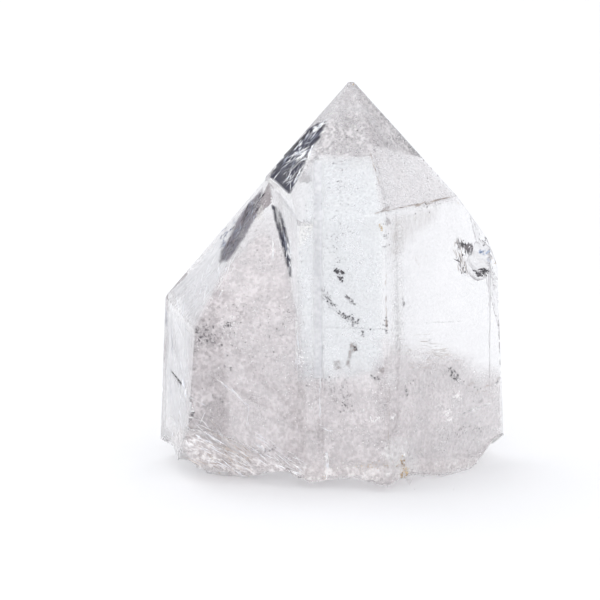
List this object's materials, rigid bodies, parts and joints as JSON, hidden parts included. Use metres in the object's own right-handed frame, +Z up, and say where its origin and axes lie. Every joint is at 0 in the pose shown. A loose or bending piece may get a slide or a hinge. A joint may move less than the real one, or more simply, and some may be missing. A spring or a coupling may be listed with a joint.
{
  "type": "clear quartz crystal",
  "caption": "Clear six-sided quartz point with a shorter point grown in step on its left side, standing on its broken base.",
  "frame": {"origin": "on the resting plane, under the middle of the crystal", "axes": "+Z up, roughly along the c axis; -Y faces the viewer of the best side; +X to that viewer's right"},
  "size_m": [0.0538, 0.0366, 0.0593],
  "materials": {
    "quartz": "clear natural crystal faces, matt where broken"
  },
  "bodies": {
    "root": {"quartz_crystal": "quartz"}
  },
  "joints": []
}
